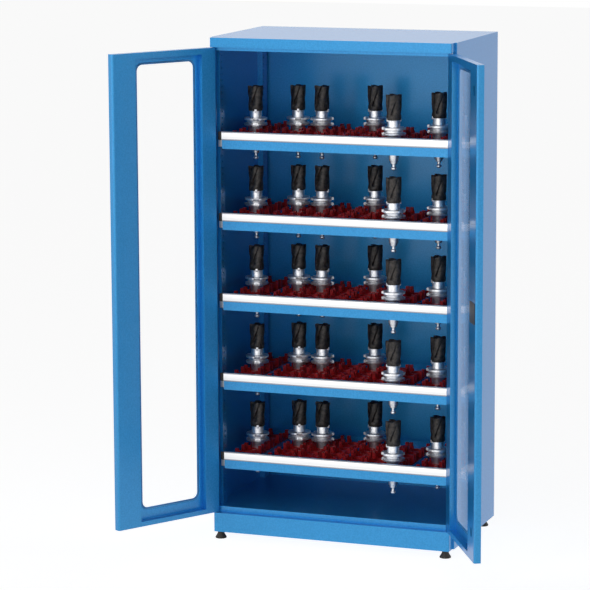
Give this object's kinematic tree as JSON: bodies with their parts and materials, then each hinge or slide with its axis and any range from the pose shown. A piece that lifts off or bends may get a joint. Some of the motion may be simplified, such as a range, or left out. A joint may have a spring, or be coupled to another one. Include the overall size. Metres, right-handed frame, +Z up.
{
  "type": "tool cabinet with doors",
  "caption": "Tall sheet-metal tool cabinet: two glazed hinged doors, sliding shelves with tool sockets and holders, locking rods and levelling feet.",
  "frame": {"origin": "on the floor below the middle of the cabinet's body, doors left out", "axes": "+Z up, the doors face -Y, +X to the right seen from the front"},
  "size_m": [1.5034, 1.0301, 2.03],
  "materials": {
    "blue_paint": "glossy powder coat",
    "zinc": "zinc plate",
    "strip_aluminium": "satin",
    "red_plastic": "satin",
    "tool_steel": "ground",
    "clear_glass": "clear",
    "seal_rubber": "matte",
    "black_plastic": "matte",
    "lock_metal": "dark grey coat"
  },
  "bodies": {
    "cabinet": {"side_panel_left": "blue_paint", "side_panel_right": "blue_paint", "back_panel": "blue_paint", "roof_panel": "blue_paint", "top_fascia": "blue_paint", "plinth": "blue_paint", "top_rail": "blue_paint", "floor_panel": "blue_paint", "perforated_uprights": "blue_paint", "hinge_brackets": "zinc", "foot_brackets": "blue_paint", "outer_runners": "zinc"},
    "door_left": {"door_left_skin": "blue_paint", "door_left_frame": "blue_paint", "door_left_window": "clear_glass", "door_left_seal": "seal_rubber", "door_left_hinge_pins": "zinc"},
    "door_right": {"door_right_skin": "blue_paint", "door_right_frame": "blue_paint", "door_right_window": "clear_glass", "door_right_seal": "seal_rubber", "door_right_hinge_pins": "zinc", "lock_case": "lock_metal", "lock_escutcheon": "lock_metal", "lock_cylinder": "zinc"},
    "lock_handle": {"lock_handle": "lock_metal"},
    "rod_upper": {"lock_rod_upper": "zinc"},
    "rod_lower": {"lock_rod_lower": "zinc"},
    "shelf_1": {"shelf_1_frame": "blue_paint", "shelf_1_handle_strip": "strip_aluminium", "shelf_1_tool_inserts": "red_plastic", "shelf_1_tools": "tool_steel", "shelf_1_runners": "zinc"},
    "shelf_2": {"shelf_2_frame": "blue_paint", "shelf_2_handle_strip": "strip_aluminium", "shelf_2_tool_inserts": "red_plastic", "shelf_2_tools": "tool_steel", "shelf_2_runners": "zinc"},
    "shelf_3": {"shelf_3_frame": "blue_paint", "shelf_3_handle_strip": "strip_aluminium", "shelf_3_tool_inserts": "red_plastic", "shelf_3_tools": "tool_steel", "shelf_3_runners": "zinc"},
    "shelf_4": {"shelf_4_frame": "blue_paint", "shelf_4_handle_strip": "strip_aluminium", "shelf_4_tool_inserts": "red_plastic", "shelf_4_tools": "tool_steel", "shelf_4_runners": "zinc"},
    "shelf_5": {"shelf_5_frame": "blue_paint", "shelf_5_handle_strip": "strip_aluminium", "shelf_5_tool_inserts": "red_plastic", "shelf_5_tools": "tool_steel", "shelf_5_runners": "zinc"},
    "foot_front_left": {"foot_front_left": "black_plastic"},
    "foot_front_right": {"foot_front_right": "black_plastic"},
    "foot_rear_left": {"foot_rear_left": "black_plastic"},
    "foot_rear_right": {"foot_rear_right": "black_plastic"}
  },
  "joints": [
    {"name": "door_left_hinge", "type": "hinge", "parent": "cabinet", "child": "door_left", "pos_m": [-0.492, -0.2915, 1], "axis": [0, 0, -1], "range_deg": [-121.4, 0]},
    {"name": "door_right_hinge", "type": "hinge", "parent": "cabinet", "child": "door_right", "pos_m": [0.492, -0.2915, 1], "axis": [0, 0, 1], "range_deg": [-119.1, 0]},
    {"name": "lock_handle_turn", "type": "hinge", "parent": "door_right", "child": "lock_handle", "pos_m": [0.71997, -0.66818, 1.0755], "axis": [0.8738, 0.4863, 0], "range_deg": [0, 90]},
    {"name": "rod_upper_slide", "type": "slide", "parent": "door_right", "child": "rod_upper", "axis": [0, 0, 1], "range_m": [0, 0.02]},
    {"name": "rod_lower_slide", "type": "slide", "parent": "door_right", "child": "rod_lower", "axis": [0, 0, -1], "range_m": [0, 0.02]},
    {"name": "shelf_1_slide", "type": "slide", "parent": "cabinet", "child": "shelf_1", "axis": [0, -1, 0], "range_m": [0, 0.38]},
    {"name": "shelf_2_slide", "type": "slide", "parent": "cabinet", "child": "shelf_2", "axis": [0, -1, 0], "range_m": [0, 0.38]},
    {"name": "shelf_3_slide", "type": "slide", "parent": "cabinet", "child": "shelf_3", "axis": [0, -1, 0], "range_m": [0, 0.38]},
    {"name": "shelf_4_slide", "type": "slide", "parent": "cabinet", "child": "shelf_4", "axis": [0, -1, 0], "range_m": [0, 0.38]},
    {"name": "shelf_5_slide", "type": "slide", "parent": "cabinet", "child": "shelf_5", "axis": [0, -1, 0], "range_m": [0, 0.38]},
    {"name": "foot_front_left_turn", "type": "hinge", "parent": "cabinet", "child": "foot_front_left", "pos_m": [-0.475, -0.285, 0], "axis": [0, 0, 1], "continuous": true},
    {"name": "foot_front_right_turn", "type": "hinge", "parent": "cabinet", "child": "foot_front_right", "pos_m": [0.475, -0.285, 0], "axis": [0, 0, 1], "continuous": true},
    {"name": "foot_rear_left_turn", "type": "hinge", "parent": "cabinet", "child": "foot_rear_left", "pos_m": [-0.475, 0.247, 0], "axis": [0, 0, 1], "continuous": true},
    {"name": "foot_rear_right_turn", "type": "hinge", "parent": "cabinet", "child": "foot_rear_right", "pos_m": [0.475, 0.247, 0], "axis": [0, 0, 1], "continuous": true}
  ],
  "couplings": [
    {"joint": "lock_handle_turn", "follows": "rod_upper_slide", "rad_per_m": 78.54},
    {"joint": "rod_lower_slide", "follows": "rod_upper_slide", "ratio": 1}
  ]
}
